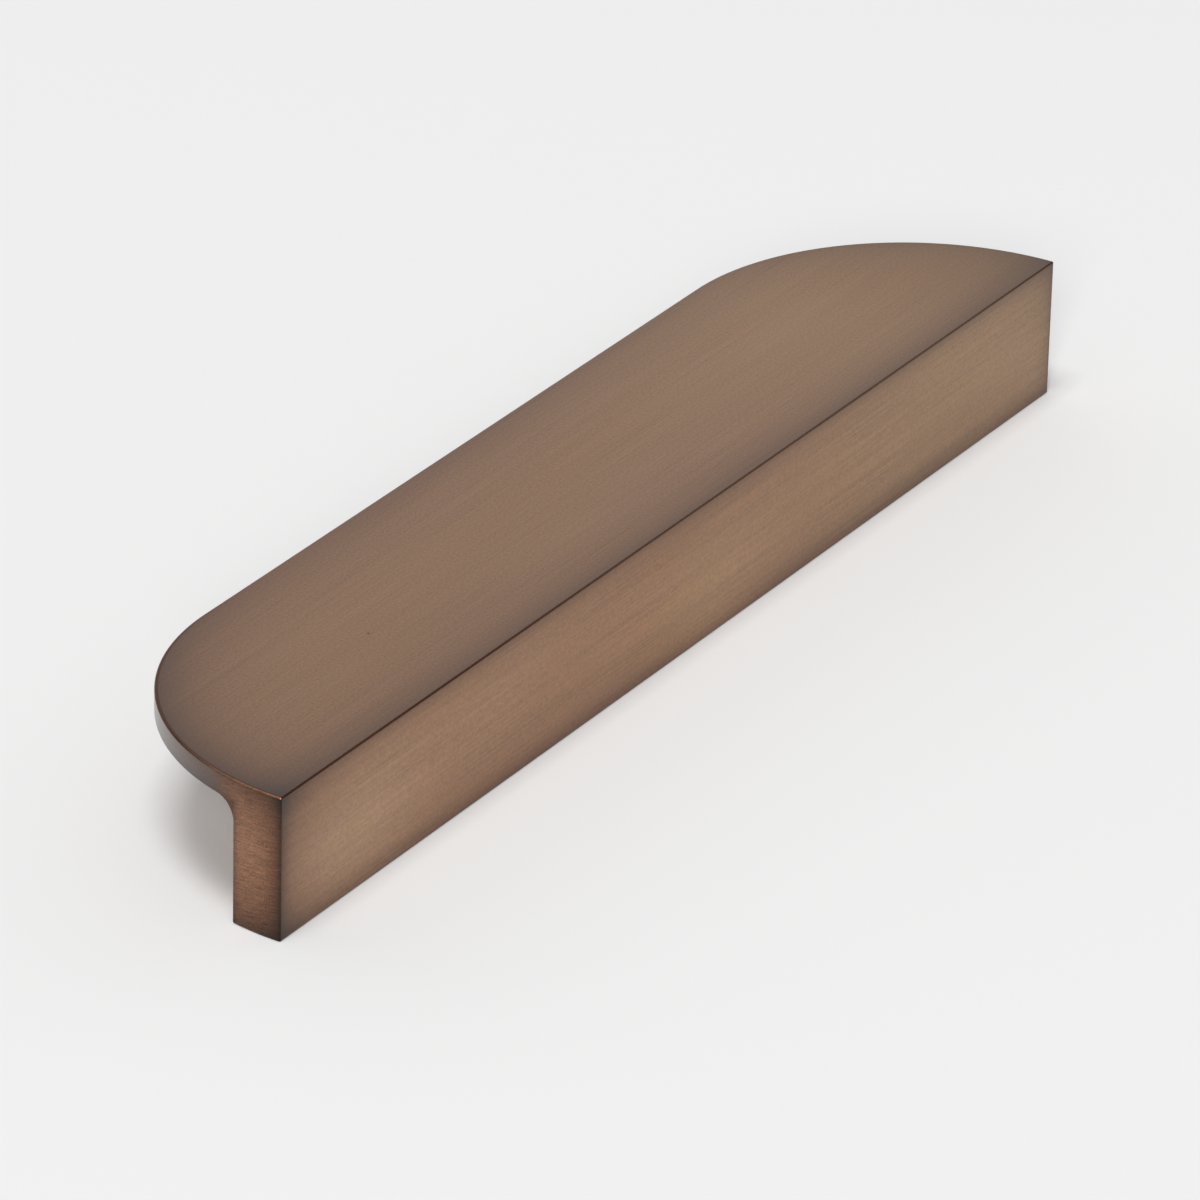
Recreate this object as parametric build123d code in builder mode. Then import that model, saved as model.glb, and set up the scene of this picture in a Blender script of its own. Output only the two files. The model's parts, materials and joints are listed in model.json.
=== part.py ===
"""Cabinet lip pull, one solid piece of metal.

An L-shaped bar: a leg stands on the cabinet front and carries a flat plate that fingers hook behind.
Seen from above, the bar is half of a stadium: straight along the leg's outer face, and rounded at both
ends by quarter circles that run into the plate's straight back edge. Two blind tapped holes in the
leg's foot take screws that come through the cabinet front.

The origin is midway between the screw holes, on the foot. X runs along the bar, Y from the leg towards
the plate's back edge, and Z from the foot up to the plate.
"""

import os
from math import radians, tan

from build123d import *

# Driving dimensions, in millimetres and degrees
length = 200.0  # overall, along X
depth = 37.5  # leg's outer face to the plate's back edge, and the radius of both ends
height = 21.0  # foot to the top of the plate
leg_thickness = 8.0
plate_thickness = 3.25
inner_radius = 3.0  # fillet between the leg and the plate's underside
edge_radius = 0.25  # break along every outer edge

screw_centres = 160.0
tap_drill_diameter = 3.3  # drilled for an M4 coarse thread
tap_depth = 12.0  # foot to the end of the straight wall
mouth_diameter = 4.4  # countersunk lead-in at the foot
mouth_angle = 90.0
drill_point_angle = 118.0

# The screws stand in the middle of the leg, so the leg is centred on the origin
front_y = -leg_thickness / 2
inner_y = leg_thickness / 2
back_y = front_y + depth
underside_z = height - plate_thickness
drill_point_height = tap_drill_diameter / 2 / tan(radians(drill_point_angle / 2))

with BuildPart() as pull:
    # Section across the bar: the leg, the fillet and the plate
    with BuildSketch(Plane.YZ) as section:
        with BuildLine():
            Polyline(
                (front_y, 0),
                (front_y, height),
                (back_y, height),
                (back_y, underside_z),
                (inner_y, underside_z),
                (inner_y, 0),
                close=True,
            )
        make_face()
        inner_corner = section.vertices().group_by(Axis.Y)[1].sort_by(Axis.X)[0]
        fillet(inner_corner, radius=inner_radius)
    extrude(amount=length / 2, both=True)

    # Outline from above: the half of a stadium that lies behind the leg's outer face
    with BuildSketch(Plane((0, front_y, 0))):
        SlotOverall(length, 2 * depth)
        Rectangle(length, depth, align=(Align.CENTER, Align.MIN), mode=Mode.INTERSECT)
    extrude(amount=height, mode=Mode.INTERSECT)

    # Every sharp edge borders the top, the foot, the back edge or a rounded end. The back edge and the
    # ends run into each other, so the seams between them stay.
    foot = pull.faces().sort_by(Axis.Z)[0]
    top = pull.faces().sort_by(Axis.Z)[-1]
    back = pull.faces().sort_by(Axis.Y)[-1]
    left_end = pull.faces().sort_by(Axis.X)[0]
    right_end = pull.faces().sort_by(Axis.X)[-1]
    end_edges = left_end.edges() + right_end.edges()
    seams = end_edges & back.edges()
    sharp_edges = (top.edges() + foot.edges() + back.edges() + end_edges) - seams
    fillet(sharp_edges, radius=edge_radius)

    # Tapped holes, drilled up into the foot: a countersunk mouth, a straight wall and a drill point
    with Locations(Plane.XY.rotated((180, 0, 0))):
        with GridLocations(screw_centres, 0, 2, 1):
            CounterSinkHole(tap_drill_diameter / 2, mouth_diameter / 2, tap_depth, mouth_angle)
            with Locations((0, 0, -tap_depth)):
                Cone(
                    0,
                    tap_drill_diameter / 2,
                    drill_point_height,
                    align=(Align.CENTER, Align.CENTER, Align.MAX),
                    mode=Mode.SUBTRACT,
                )

pull.part.label = "pull"
os.makedirs("parts", exist_ok=True)
export_step(pull.part, "parts/pull.step")
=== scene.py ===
"""Looks of a cabinet lip pull: the pull in brushed, patinated bronze, and the studio it is shown in."""

import json
from math import pi, radians, tan

import bpy
import numpy as np
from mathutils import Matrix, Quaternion, Vector


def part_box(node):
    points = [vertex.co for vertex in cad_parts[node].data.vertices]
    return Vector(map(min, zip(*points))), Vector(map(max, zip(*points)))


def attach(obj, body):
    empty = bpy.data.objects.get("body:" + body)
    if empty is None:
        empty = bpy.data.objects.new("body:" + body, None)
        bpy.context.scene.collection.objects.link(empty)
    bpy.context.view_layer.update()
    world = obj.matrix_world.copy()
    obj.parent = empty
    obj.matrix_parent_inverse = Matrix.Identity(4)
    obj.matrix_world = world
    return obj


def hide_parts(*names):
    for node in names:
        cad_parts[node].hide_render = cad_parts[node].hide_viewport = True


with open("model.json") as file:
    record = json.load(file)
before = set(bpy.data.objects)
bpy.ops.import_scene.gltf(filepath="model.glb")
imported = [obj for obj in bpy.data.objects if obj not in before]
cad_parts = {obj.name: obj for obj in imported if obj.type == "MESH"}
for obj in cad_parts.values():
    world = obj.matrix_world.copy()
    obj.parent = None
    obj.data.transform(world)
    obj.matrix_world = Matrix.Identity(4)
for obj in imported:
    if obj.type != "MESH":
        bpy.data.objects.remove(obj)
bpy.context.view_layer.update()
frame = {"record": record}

# The pull: one L-shaped bar of solid brass, milled to its outline and brushed along its length, then
# darkened to a bronze patina and lacquered. Its edges are broken by hand. It stands on its foot, where
# two tapped holes take screws that come through the cabinet front.
lowest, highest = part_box("pull")
length = 0.200
depth = highest.y - lowest.y  # also the radius of the rounded ends
height = highest.z - lowest.z
front_y = lowest.y
leg_thickness = -2 * front_y  # the screws stand in the middle of the leg, at Y 0
plate_thickness = 0.00325
inner_radius = 0.003  # fillet between the leg and the plate
edge_radius = 0.00025

straight_half = length / 2 - depth  # from the middle to where the ends start to round
underside = height - plate_thickness
core_radius = depth - edge_radius  # of the ends, one edge radius inside their wall

screws = next(mount for mount in frame["record"]["mounts"] if mount["name"] == "screw_holes")["dims"]
screw_x = screws["spacing_x_mm"] / 2000
tap_radius = screws["hole_r_mm"] / 1000
thread_radius = 0.002
thread_pitch = 0.0007
thread_floor = thread_pitch / 8  # width of the groove's flat bottom
thread_flank = radians(30)  # between a flank and the plane across the screw
thread_end = 0.010  # from the foot, where the tap stopped
tap_depth = 0.012
mouth_radius = 0.0022
mouth_flat = 1.05 * mouth_radius  # a flat ring round the mouth, which keeps its edge crisp
drill_point_angle = radians(118)
hole_room = 0.003  # from a hole's axis to the sides of the square left for it in the foot

# How many cells the mesh has in each stretch of the pull
break_cells = 3
end_cells = 6
hole_cells = 8
middle_cells = 40
edge_cells = 2
leg_cells = 14
bend_cells = 8
plate_cells = 48
thread_cells = 8  # in one pitch


def spaced(stops, cells):
    """Grid lines through the stops, with that many equal cells between each stop and the next."""
    runs = [np.linspace(a, b, n, endpoint=False) for a, b, n in zip(stops, stops[1:], cells)]
    return np.concatenate([*runs, stops[-1:]])


def with_breaks(lines):
    """Grid lines, with those of the rounded edges added before the first and after the last of them.

    An added line lies on the first or last one and leans over the edge. Its lean is the tangent of an
    angle that grows to 45 degrees in equal steps, negative before the lines and positive after them.
    """
    lean = np.tan(np.linspace(0, pi / 4, break_cells + 1)[1:])
    leans = np.concatenate([-lean[::-1], np.zeros(len(lines)), lean])
    return np.pad(lines, break_cells, mode="edge"), leans


def wall_angle(setback):
    """Angle round an end's quarter circle at which the core stands that far behind the outer face."""
    return np.arcsin(setback / core_radius)


def cells_of(sheet):
    """The four corners of each cell in a sheet of point numbers, so that rows cross columns outwards."""
    corners = [sheet[:-1, :-1], sheet[1:, :-1], sheet[1:, 1:], sheet[:-1, 1:]]
    return np.stack(corners, axis=-1).reshape(-1, 4)


# The section's rows go up the leg, round the bend and along the plate to the back edge. Each row joins a
# point of the outer line to one of the inner line. Both lie on the core, one edge radius inside the
# surface, and are given by their wall angle and height. The row's bend is the angle that the section has
# turned through: the outer line faces -Y at 0 and +Z at a right angle, and the inner line the other way.
climb = np.linspace(0, 1, leg_cells + 1)
turn = np.linspace(0, pi / 2, bend_cells + 1)[1:]
run = np.linspace(0, 1, plate_cells + 1)[1:]
bend_y = leg_thickness + inner_radius
bend_z = underside - inner_radius
bend_core = inner_radius + edge_radius
outer_start = wall_angle(edge_radius)
inner_start = wall_angle(leg_thickness - edge_radius)
plate_start = wall_angle(bend_y)
outer_angle = np.concatenate(
    [outer_start + 0 * climb, outer_start + 0 * turn, outer_start + (pi / 2 - outer_start) * run]
)
outer_z = np.concatenate(
    [
        edge_radius + (height - 2 * edge_radius) * climb,
        height - edge_radius + 0 * turn,
        height - edge_radius + 0 * run,
    ]
)
inner_angle = np.concatenate(
    [
        inner_start + 0 * climb,
        wall_angle(bend_y - bend_core * np.cos(turn)),
        plate_start + (pi / 2 - plate_start) * run,
    ]
)
inner_z = np.concatenate(
    [
        edge_radius + (bend_z - edge_radius) * climb,
        bend_z + bend_core * np.sin(turn),
        underside + edge_radius + 0 * run,
    ]
)
bend = np.concatenate([0 * climb, turn, pi / 2 + 0 * run])

# Grid lines along the bar, up the section and across from the outer to the inner line. In the foot they
# leave a square of cells free round each hole.
foot_half = straight_half + core_radius * np.cos(wall_angle(leg_thickness / 2))
square_x = np.array([screw_x - hole_room, screw_x + hole_room]) / foot_half
square_y = wall_angle(leg_thickness / 2 + np.array([-hole_room, hole_room]))
along, along_lean = with_breaks(
    spaced(
        np.concatenate([[-1], -square_x[::-1], square_x, [1]]),
        [end_cells, hole_cells, middle_cells, hole_cells, end_cells],
    )
)
up, up_lean = with_breaks(np.arange(len(bend)))
across, across_lean = with_breaks(
    spaced(
        np.interp(
            np.concatenate([[outer_start], square_y, [inner_start]]), [outer_start, inner_start], [0, 1]
        ),
        [edge_cells, hole_cells, edge_cells],
    )
)

# The core is moved outwards by one edge radius. Inside a face that is along the face's own normal, and
# over an edge the lean turns it from one face's normal to the next one's.
along, along_lean = along[:, None, None], along_lean[:, None, None]
up, up_lean = up[:, None], up_lean[:, None]
angle = outer_angle[up] + (inner_angle - outer_angle)[up] * across
core = np.stack(
    np.broadcast_arrays(
        along * (straight_half + core_radius * np.cos(angle)),
        front_y + core_radius * np.sin(angle),
        outer_z[up] + (inner_z - outer_z)[up] * across,
    ),
    axis=-1,
)
facing = np.stack(
    np.broadcast_arrays(
        along_lean * np.cos(angle),
        np.abs(along_lean) * np.sin(angle) + np.maximum(up_lean, 0) + across_lean * np.cos(bend[up]),
        np.minimum(up_lean, 0) - across_lean * np.sin(bend[up]) + 0 * along_lean,
    ),
    axis=-1,
)
reach = np.linalg.norm(facing, axis=-1, keepdims=True)
facing = (facing / np.where(reach > 0, reach, 1)).reshape(-1, 3)
number = np.arange(len(facing)).reshape(core.shape[:3])
points = core.reshape(-1, 3) + edge_radius * facing

# The six sides of the grid are the pull's skin. The ends run into the back edge without a break, so the
# cells of the breaks there are left out, and so are the squares round the holes.
sides = [number[:, :, 0], number[::-1, :, -1], number[0], number[-1, ::-1], number[::-1, 0], number[:, -1]]
skin = np.concatenate([cells_of(side) for side in sides])
end_break = np.broadcast_to(along_lean != 0, number.shape).ravel()
back_break = np.broadcast_to(up_lean > 0, number.shape).ravel()
seam = end_break[skin].any(1) & back_break[skin].any(1)
middle = points[skin].mean(1)
in_square = (np.abs(np.abs(middle[:, 0]) - screw_x) < hole_room) & (np.abs(middle[:, 1]) < hole_room)
in_foot = middle[:, 2] < edge_radius / 100
skin = skin[~(seam | (in_square & in_foot))]


def tapped_hole(rim, axis_x):
    """A tapped hole as rings of points, from its square rim in the foot up to the drill's point.

    Each ring keeps the rim's angles round the axis. Its radius is the larger of the mouth's cone, which
    narrows as much as it rises, and the thread: a groove with flanks at 60 degrees to each other, one
    pitch higher at each turn, that runs out over the last pitch. The last ring is the drill's point.
    """
    angle = np.arctan2(rim[:, 1], rim[:, 0] - axis_x)
    rise = np.arange(0, tap_depth, thread_pitch / thread_cells)[:, None]
    turned = (rise / thread_pitch - angle / (2 * pi)) % 1
    from_groove = np.abs(turned - 0.5) * thread_pitch
    groove_depth = thread_radius - tap_radius
    groove = groove_depth - (from_groove - thread_floor / 2) / tan(thread_flank)
    run_out = np.clip((thread_end - rise) / thread_pitch, 0, 1)
    thread = tap_radius + np.clip(groove, 0, groove_depth) * run_out
    wall = np.maximum(mouth_radius - rise, thread)
    wall[0] = mouth_radius
    flat = np.full((1, len(rim)), mouth_flat)
    straight = np.full((1, len(rim)), tap_radius)
    radius = np.concatenate([flat, wall, straight, 0 * straight])
    point_height = tap_radius / tan(drill_point_angle / 2)
    rise = np.concatenate([[[0]], rise, [[tap_depth]], [[tap_depth + point_height]]]) + 0 * radius
    rings = np.stack([axis_x + radius * np.cos(angle), radius * np.sin(angle), rise], axis=-1)
    return np.concatenate([rim[None], rings])


first_y = break_cells + edge_cells
left_x = break_cells + end_cells
right_x = left_x + hole_cells + middle_cells
for first_x, axis_x in ((left_x, -screw_x), (right_x, screw_x)):
    square = number[first_x : first_x + hole_cells + 1, 0, first_y : first_y + hole_cells + 1]
    rim = np.concatenate([square[:-1, 0], square[-1, :-1], square[:0:-1, -1], square[0, :0:-1]])
    rings = tapped_hole(points[rim], axis_x)
    sheet = len(points) + np.arange(rings[..., 0].size).reshape(rings.shape[:2])
    sheet = np.concatenate([sheet, sheet[:, :1]], axis=1)
    skin = np.concatenate([skin, cells_of(sheet)])
    points = np.concatenate([points, rings.reshape(-1, 3)])
    hole_facing = np.zeros(rings.shape)  # none given below the rim, so that the thread is shaded as it lies
    hole_facing[0] = facing[rim]
    facing = np.concatenate([facing, hole_facing.reshape(-1, 3)])

# Points that meet are made one, and a cell that this leaves with a repeated corner becomes a triangle
weld = 1e-7
places = np.round(points[skin].reshape(-1, 3) / weld).astype(np.int64)
_, kept, corner = np.unique(places, axis=0, return_index=True, return_inverse=True)
faces = [tuple(dict.fromkeys(cell)) for cell in corner.reshape(-1, 4).tolist()]
mesh = bpy.data.meshes.new("bronze_pull")
mesh.from_pydata(points[skin.ravel()[kept]], [], [face for face in faces if len(face) > 2])
mesh.shade_smooth()
mesh.normals_split_custom_set_from_vertices(facing[skin.ravel()[kept]])
pull = bpy.data.objects.new("bronze_pull", mesh)
bpy.context.scene.collection.objects.link(pull)


class Finish:
    """A socket of a material's nodes. Arithmetic on it adds Math nodes, and node() adds any other node."""

    def __init__(self, socket):
        self.socket = socket

    def node(self, kind, settings=None, inputs=None, output=0):
        """Adds a node of a type, with its settings and then the values or links of its sockets."""
        tree = self.socket.id_data
        added = tree.nodes.new("ShaderNode" + kind)
        for name, value in (settings or {}).items():
            if name == "stops":
                ramp = added.color_ramp
                for place, _ in value[1:-1]:
                    ramp.elements.new(place)
                for element, (place, colour) in zip(ramp.elements, value):
                    element.position = place
                    element.color = (*colour, 1)
            else:
                setattr(added, name, value)
        for name, value in (inputs or {}).items():
            if isinstance(value, Finish):
                tree.links.new(value.socket, added.inputs[name])
            else:
                added.inputs[name].default_value = value
        return Finish(added.outputs[output])

    def math(self, operation, *others):
        """This value and others through one Math node."""
        return self.node("Math", {"operation": operation}, dict(enumerate((self, *others))))

    def __add__(self, other):
        return self.math("ADD", other)

    def __radd__(self, other):
        return self.math("ADD", other)

    def __sub__(self, other):
        return self.math("SUBTRACT", other)

    def __rsub__(self, other):
        return self.node("Math", {"operation": "SUBTRACT"}, {0: other, 1: self})

    def __mul__(self, other):
        return self.math("MULTIPLY", other)

    def __rmul__(self, other):
        return self.math("MULTIPLY", other)

    def __truediv__(self, other):
        return self.math("DIVIDE", other)

    def clear_of(self, other):
        """How far this is above another value, and 0 where it is below."""
        return (self - other).math("MAXIMUM", 0)

    def fading(self, distance):
        """1 where this is 0, falling off exponentially over a distance."""
        return (self / distance * -1).math("EXPONENT")

    def rising(self, low, high):
        """0 below low and 1 above high, with a smooth step between them."""
        return self.node(
            "MapRange",
            {"interpolation_type": "SMOOTHSTEP"},
            {"Value": self, "From Min": low, "From Max": high},
        )


def hypotenuse(a, b):
    """Square root of the sum of two squares."""
    return (a * a + b * b).math("SQRT")


def blended(share, a, b, blend_type="MIX"):
    """Two colours, the second one laid over the first with a share."""
    return share.node("Mix", {"data_type": "RGBA", "blend_type": blend_type}, {0: share, 6: a, 7: b}, 2)


def grain(place, sizes, offset=(0, 0, 0), detail=2):
    """Noise about 0.5 with patches of these sizes along X, Y and Z."""
    scaled = place.node(
        "Mapping", {}, {"Vector": place, "Location": offset, "Scale": tuple(1 / size for size in sizes)}
    )
    return place.node("TexNoise", {}, {"Vector": scaled, "Scale": 1, "Detail": detail})


bronze = bpy.data.materials.new("brushed_bronze")
bronze.use_nodes = True
shader = bronze.node_tree.nodes["Principled BSDF"]
place = Finish(shader.outputs[0]).node("TexCoord", output="Object")
xyz = place.node("SeparateXYZ", {}, {0: place})
x, y, z = (Finish(output) for output in xyz.socket.node.outputs)

# How far a point lies from each of the pull's faces
from_front = y - front_y
past_straight = x.math("ABSOLUTE").clear_of(straight_half)
from_wall = depth - hypotenuse(past_straight, from_front)
from_top = height - z
from_inside = hypotenuse((leg_thickness - from_front).math("MAXIMUM", 0), z.clear_of(underside))

# 1 on a face or a stretch of the pull and 0 away from it
on_top = 1 - from_top.rising(0.2 * edge_radius, edge_radius)
on_wall = 1 - from_wall.rising(0.4 * edge_radius, 1.2 * edge_radius)
on_inside = 1 - from_inside.rising(0.4 * edge_radius, 1.2 * edge_radius)
behind_leg = from_front.rising(leg_thickness, leg_thickness + 0.005)
left_end = (x * -1).rising(0.045, 0.085)
left_half = (x * -1).rising(-0.010, 0.070)
right_half = x.rising(0, 0.070)
right_end = x.rising(0.055, 0.095)


def patches(cloud, spots):
    """A cloud with soft round spots added to it.

    A spot has its X, its distance behind the front's upper edge, which is negative down the front, its half
    sizes along both, and its strength. It fades exponentially with the square of the distance from its
    middle, counted in half sizes.
    """
    behind_edge = from_front - from_top
    for spot_x, spot_y, half_x, half_y, strength in spots:
        across_x = (x - spot_x) / half_x
        across_y = (behind_edge - spot_y) / half_y
        cloud = cloud + (across_x * across_x + across_y * across_y).fading(1) * strength
    return cloud


# The metal goes from a red brown to an olive brown at the far end, which is less olive on top and a dark
# red brown towards the far corner. It is golden where it was rubbed and yellower in places, more coppery
# on the end walls, and brighter on the inside.
red_brown = (0.313, 0.160, 0.076, 1)
olive_brown = (0.313, 0.180, 0.086, 1)
tan_brown = (0.335, 0.181, 0.083, 1)
corner_brown = (0.200, 0.080, 0.005, 1)
golden_brown = (0.393, 0.232, 0.131, 1)
yellow_tint = (1.0, 1.02, 0.75, 1)
copper_brown = (0.356, 0.183, 0.101, 1)
inside_brown = (0.430, 0.226, 0.095, 1)
rubbed_cloud = grain(place, (0.030, 0.006, 0.006), detail=3)
rubbed = patches(
    (rubbed_cloud - 0.5) * 0.5,
    [
        (-0.084, -0.012, 0.017, 0.009, 1.1),
        (-0.050, -0.009, 0.014, 0.008, 0.18),
        (0.007, -0.014, 0.015, 0.008, 0.51),
    ],
)
yellow_cloud = grain(place, (0.025, 0.004, 0.004), offset=(5, 2, 8))
yellowed = patches(
    (yellow_cloud - 0.45) * 0.8,
    [
        (0.004, -0.0165, 0.016, 0.008, 0.5),
        (0.006, 0.023, 0.030, 0.008, 0.25),
        (-0.058, 0.013, 0.014, 0.009, 0.25),
    ],
)
far_corner_reach = 0.045
far_corner = right_end * on_top * hypotenuse(from_front, from_wall).fading(far_corner_reach)
colour = blended(right_half, red_brown, blended(on_top, olive_brown, tan_brown))
colour = blended(0.6 * far_corner, colour, corner_brown)
colour = blended(rubbed, colour, golden_brown)
colour = blended(yellowed, colour, yellow_tint, "MULTIPLY")
colour = blended(on_wall, colour, copper_brown)
colour = blended(on_inside, colour, inside_brown)

# The metal is darker at the edges, and this thins out exponentially away from them. Along the upper edges
# and the corners it is patina, and the metal is also darker towards the foot and towards the inside faces.
# Each edge is given by how far a point is from its two faces, and its darkening by the share of the shine
# that it holds back and by its reach. What shines through is the product of what all edges let through.
darkened_edges = [
    (from_front, from_top, 0.53 + 0.06 * on_top, 0.0019 + 0.0024 * on_top),
    (from_front, z, 0.60 - 0.3 * rubbed, 0.0029),
    (from_front, from_wall, 0.69 - 1.6 * x, 0.0016 + 0.0005 * on_wall),
    (
        from_wall,
        from_top,
        0.39 + 0.37 * left_end - 0.1 * on_wall,
        0.0051 + 0.001 * left_end - 0.0025 * on_wall,
    ),
    (from_wall, z, 0.40 - 3.6 * x, 0.0045),
    (from_wall, from_inside, (0.69 + 0.26 * behind_leg) * on_wall, 0.0006 + 0.0029 * behind_leg),
]
shine = 1
for a, b, share, reach in darkened_edges:
    shine = shine * (1 - share * hypotenuse(a, b).fading(reach))

# A thin dark line is painted along the front's upper edge, most of all on its left half, and round the
# top's edge at the near end. It is a painted dark reflection of the rounded edge, over a little patina.
# Beside the front corner that edge itself is rubbed down to the copper, whose brighter colour also paints
# part of the highlight along it. The top has one small dark pit.
front_patina_and_reflection = (0.2 + 0.65 * left_half) * (1 - hypotenuse(from_front, from_top).rising(0.00018, 0.00034))
near_corner = left_end * (1 - from_front.rising(0.002, 0.022))
at_top = 1 - from_top.rising(0.0001, 0.0002)
at_edge = 1 - from_wall.rising(0.0002, 0.0003)
beside_edge = 1 - from_wall.rising(0.0004, 0.0006)
end_patina_and_reflection = left_end * beside_edge * at_top * (1 - near_corner * at_edge)
pit_x = -0.0549
pit_y = 0.0124
pit_radius = 0.0002
in_pit = on_top * (1 - hypotenuse(x - pit_x, y - pit_y).rising(0.5 * pit_radius, 1.5 * pit_radius))
painted_reflection_patina_and_pit = front_patina_and_reflection.math("MAXIMUM", end_patina_and_reflection).math("MAXIMUM", 0.8 * in_pit)
# the colour of the painted dark reflection along the edges, with a little patina, and of the pit
reflection_patina_and_pit_brown = (0.09, 0.030, 0.015, 1)
# copper where the edge is rubbed through, brighter so that it also paints part of the highlight along it
bare_copper_and_highlight = (0.50, 0.24, 0.13, 1)
darkening_tints = [
    (0.0, (0.02, 0.02, 0.02)),
    (0.5, (0.5, 0.44, 0.43)),
    (1.0, (1.0, 1.0, 1.0)),
]
tint = place.node("ValToRGB", {"stops": darkening_tints}, {0: shine})
colour = place.node("VectorMath", {"operation": "MULTIPLY"}, {0: colour, 1: tint})
# Lays on the painted dark reflection of the edges, with a little patina, and the pit
colour = blended(0.9 * painted_reflection_patina_and_pit, colour, reflection_patina_and_pit_brown)
# The rubbed copper edge, whose brighter colour paints part of the highlight along it
colour = blended(near_corner * at_edge * at_top, colour, bare_copper_and_highlight)

# The lacquer lies thickest on the plate's rim, and the dark line has none
lacquer = (0.4 + 0.5 * behind_leg * on_wall) * (1 - painted_reflection_patina_and_pit)

# The brush ran along the bar, and left long fine marks that show most on the front. The end walls were
# finished by hand, and their marks are short and slope a little. The whole metal has a fine speckle.
fine_marks = grain(place, (0.030, 0.0002, 0.0002), detail=1)
broad_marks = grain(place, (0.060, 0.0012, 0.0012), offset=(3, 7, 5))
speckle = grain(place, (0.0005, 0.00035, 0.00035), detail=1)
end_slope = 0.12  # how far the marks on the ends fall for each step back
sloping = place.node("CombineXYZ", {}, {0: x, 1: y, 2: z + end_slope * y})
end_marks = grain(sloping, (0.0022, 0.0022, 0.00015))
end_speckle = grain(place, (0.0002, 0.0002, 0.0002), detail=0)
streaks = ((fine_marks - 0.5) * 0.58 + (broad_marks - 0.5) * 0.32) * (1 - 0.33 * on_top)
bar_tone = streaks + (speckle - 0.5) * (0.52 + 0.15 * on_top)
end_tone = (end_marks - 0.5) * 1.45 + (end_speckle - 0.5) * 1.0
tone = 1 + bar_tone + on_wall * (end_tone - bar_tone)
mark_depth = 0.000004
colour = place.node("VectorMath", {"operation": "SCALE"}, {0: colour, "Scale": tone})
bump = place.node("Bump", {}, {"Strength": 0.3, "Distance": mark_depth, "Height": tone})

shader.inputs["Coat Roughness"].default_value = 0.3
shader.inputs["Metallic"].default_value = 1
shader.inputs["Roughness"].default_value = 0.38
bronze.node_tree.links.new(colour.socket, shader.inputs["Base Color"])
bronze.node_tree.links.new(bump.socket, shader.inputs["Normal"])
bronze.node_tree.links.new(lacquer.socket, shader.inputs["Coat Weight"])
mesh.materials.append(bronze)
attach(pull, "root")
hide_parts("pull")

# The floor: a wide sheet of matt white board, laid flat. The pull stands on it on its foot, with nothing
# between them.
floor_half = 3
board_white = (0.86, 0.86, 0.86, 1)
floor_mesh = bpy.data.meshes.new("floor")
floor_corners = [(-floor_half, -floor_half, 0), (floor_half, -floor_half, 0)]
floor_corners += [(floor_half, floor_half, 0), (-floor_half, floor_half, 0)]
floor_mesh.from_pydata(floor_corners, [], [(0, 1, 2, 3)])
board = bpy.data.materials.new("white_board")
board.use_nodes = True
board_shader = board.node_tree.nodes["Principled BSDF"]
board_shader.inputs["Base Color"].default_value = board_white
board_shader.inputs["Roughness"].default_value = 0.9
board_shader.inputs["Specular IOR Level"].default_value = 0
floor_mesh.materials.append(board)
floor = bpy.data.objects.new("floor", floor_mesh)
bpy.context.scene.collection.objects.link(floor)

# The studio: a dim room with one pale wall beyond the far end of the pull, and two soft boxes that light
# the floor, one behind the camera and one overhead. Each box faces the pull.
room_light = 0.27
wall_light = 0.7
wall_azimuth = radians(35)  # from +X towards +Y, where the wall is brightest
wall_top = radians(25)  # elevation where the wall starts to darken
wall_end = radians(50)  # elevation where it has gone dark
box_distance = 9
soft_boxes = [  # name, azimuth from +X towards +Y, elevation, width, height, radiance
    ("camera_box", radians(207.3), radians(26.5), 2.1, 2.5, 23.6),
    ("overhead_box", radians(191), radians(75), 3.55, 2.8, 12.7),
]

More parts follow.
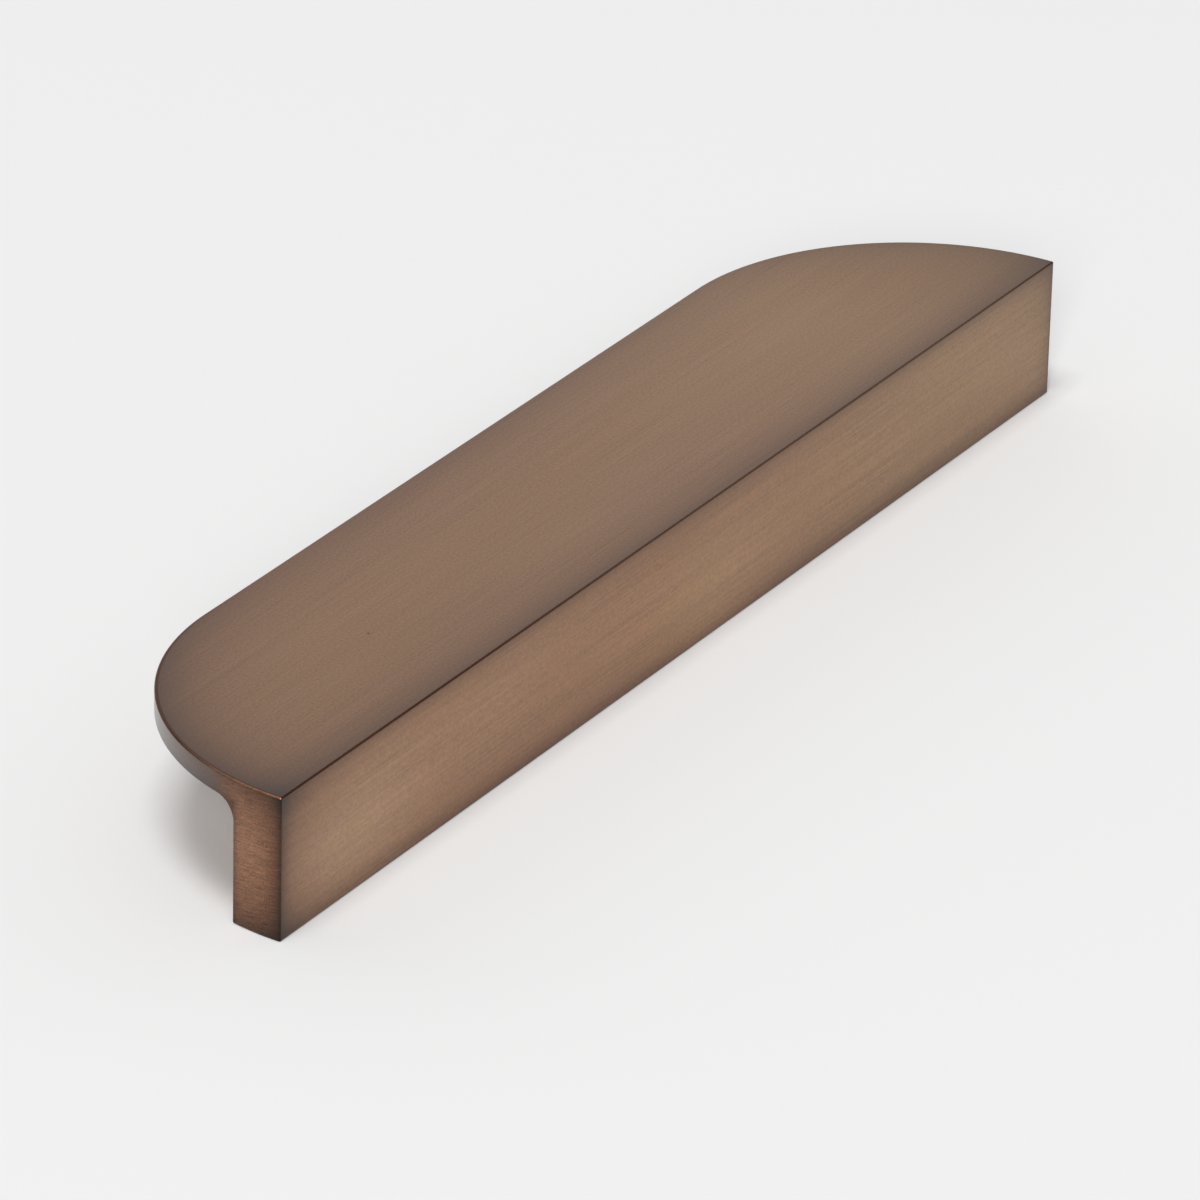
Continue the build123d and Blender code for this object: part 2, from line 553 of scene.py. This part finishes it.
world = bpy.data.worlds.new("studio")
world.use_nodes = True
background = world.node_tree.nodes["Background"]
sight = Finish(background.outputs[0]).node("TexCoord", output="Generated")
sight_x, sight_y, sight_z = (
    Finish(output) for output in sight.node("SeparateXYZ", {}, {0: sight}).socket.node.outputs
)
towards_wall = (sight_x * np.cos(wall_azimuth) + sight_y * np.sin(wall_azimuth)).math("MAXIMUM", 0)
under_top = 1 - sight_z.rising(np.sin(wall_top), np.sin(wall_end))
studio_light = room_light + wall_light * towards_wall * under_top
world.node_tree.links.new(studio_light.socket, background.inputs["Strength"])
background.inputs["Color"].default_value = (1, 1, 1, 1)
bpy.context.scene.world = world
bpy.context.scene.view_settings.view_transform = "Standard"

for box_name, box_azimuth, box_elevation, box_width, box_height, box_light in soft_boxes:
    box_data = bpy.data.lights.new(box_name, "AREA")
    box_data.shape = "RECTANGLE"
    box_data.size = box_width
    box_data.size_y = box_height
    box_data.energy = box_light * pi * box_width * box_height
    soft_box = bpy.data.objects.new(box_name, box_data)
    from_box = Vector(
        (
            -np.cos(box_azimuth) * np.cos(box_elevation),
            -np.sin(box_azimuth) * np.cos(box_elevation),
            -np.sin(box_elevation),
        )
    )
    soft_box.rotation_mode = "QUATERNION"
    soft_box.rotation_quaternion = from_box.to_track_quat("-Z", "Y")
    soft_box.location = -box_distance * from_box
    bpy.context.scene.collection.objects.link(soft_box)

# The camera: a long lens that looks at the pull from the front left and above, turned a little about its
# own line of sight
aim = Vector((0.0011315, 0.0109109, 0.0030447))
camera_distance = 1.25322
camera_azimuth = radians(-58.5347)  # from -Y, the way that the front faces, towards +X
camera_elevation = radians(26.8094)
camera_roll = radians(1.4342)
camera_lens = 272.833
sensor_width = 36
camera_data = bpy.data.cameras.new("camera")
camera_data.sensor_width = sensor_width
camera_data.lens = camera_lens
camera = bpy.data.objects.new("camera", camera_data)
backwards = Vector(
    (
        np.sin(camera_azimuth) * np.cos(camera_elevation),
        -np.cos(camera_azimuth) * np.cos(camera_elevation),
        np.sin(camera_elevation),
    )
)
camera.rotation_mode = "QUATERNION"
camera.rotation_quaternion = (-backwards).to_track_quat("-Z", "Y") @ Quaternion((0, 0, 1), camera_roll)
camera.location = aim + backwards * camera_distance
bpy.context.scene.collection.objects.link(camera)
bpy.context.scene.camera = camera
